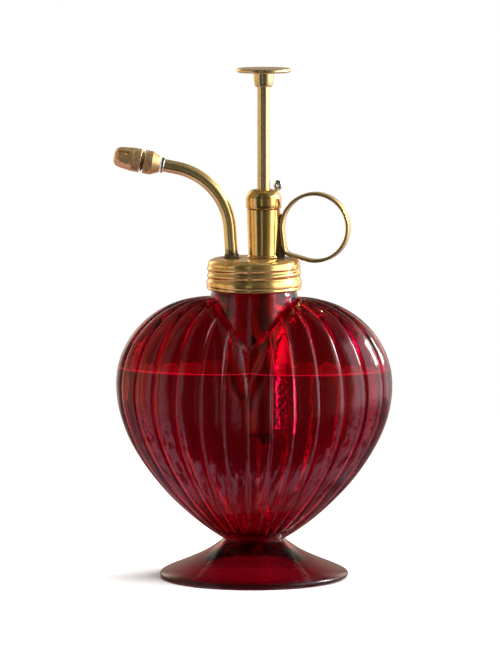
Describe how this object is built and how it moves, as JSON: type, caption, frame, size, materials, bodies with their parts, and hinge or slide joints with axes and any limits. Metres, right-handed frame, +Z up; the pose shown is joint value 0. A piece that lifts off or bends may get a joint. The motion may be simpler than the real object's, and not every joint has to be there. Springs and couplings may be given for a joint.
{
  "type": "hand mister",
  "caption": "Fluted heart-shaped glass bottle on a round foot, with a brass screw lid carrying a thumb pump, a finger ring and a curved spout with a turning mist nozzle.",
  "frame": {"origin": "on the bottle's upright axis, on the surface that the foot stands on", "axes": "+Z up along the bottle, -X the way the spout points, -Y the side seen from the front"},
  "size_m": [0.1174, 0.0796, 0.2146],
  "materials": {
    "ruby_glass": "deep ruby, mould-blown, glossy with fine bubbles",
    "polished_brass": "polished, with light handling wear",
    "aged_brass": "browned brass, dull in the recesses",
    "silver_solder": "bright solder",
    "steel": "bright steel wire",
    "black_rubber": "matt black rubber",
    "clear_tube": "clear flexible tube"
  },
  "bodies": {
    "bottle": {"bottle": "ruby_glass"},
    "gasket": {"lid_gasket": "black_rubber"},
    "head": {"screw_lid": "polished_brass", "pump_sleeve": "polished_brass", "pump_cylinder": "aged_brass", "pump_cap": "polished_brass", "rod_seal": "black_rubber", "cap_lock_pin": "steel", "finger_ring": "polished_brass", "spout_tube": "polished_brass", "spout_solder": "aged_brass", "nozzle_solder": "silver_solder", "nozzle_base": "aged_brass", "nozzle_washer": "black_rubber", "delivery_tube": "aged_brass", "outlet_valve_body": "aged_brass", "valve_body": "aged_brass", "spring_seat": "aged_brass", "return_spring": "steel", "dip_tube": "clear_tube"},
    "plunger": {"plunger_rod": "polished_brass", "knob_ferrule": "polished_brass", "thumb_disc": "polished_brass", "piston": "aged_brass", "piston_cup": "black_rubber"},
    "swirl": {"swirl_insert": "aged_brass"},
    "nozzle": {"nozzle_cap": "aged_brass"},
    "inlet_check": {"inlet_ball": "steel"},
    "outlet_check": {"outlet_ball": "steel"}
  },
  "joints": [
    {"name": "lid_rise", "type": "slide", "parent": "bottle", "child": "gasket", "axis": [0, 0, 1], "range_m": [0, 0.0045]},
    {"name": "lid_turn", "type": "hinge", "parent": "gasket", "child": "head", "pos_m": [0, 0, 0.128], "axis": [0, 0, 1], "range_deg": [0, 540]},
    {"name": "plunger_slide", "type": "slide", "parent": "head", "child": "plunger", "axis": [0, 0, -1], "range_m": [0, 0.04], "stiffness_N_per_m": 120, "springref_m": -0.04, "deforming": ["return_spring"]},
    {"name": "nozzle_travel", "type": "slide", "parent": "head", "child": "swirl", "axis": [-0.9816, 0, 0.1908], "range_m": [0, 0.0016]},
    {"name": "nozzle_turn", "type": "hinge", "parent": "swirl", "child": "nozzle", "pos_m": [-0.05275, 0, 0.17676], "axis": [-0.9816, 0, 0.1908], "range_deg": [0, 720]},
    {"name": "inlet_ball_lift", "type": "slide", "parent": "head", "child": "inlet_check", "axis": [0, 0, 1], "range_m": [0, 0.001]},
    {"name": "outlet_ball_lift", "type": "slide", "parent": "head", "child": "outlet_check", "axis": [0, 0, 1], "range_m": [0, 0.001]}
  ],
  "couplings": [
    {"joint": "lid_rise", "follows": "lid_turn", "m_per_rad": 0.00047746},
    {"joint": "nozzle_travel", "follows": "nozzle_turn", "m_per_rad": 0.00012732}
  ]
}
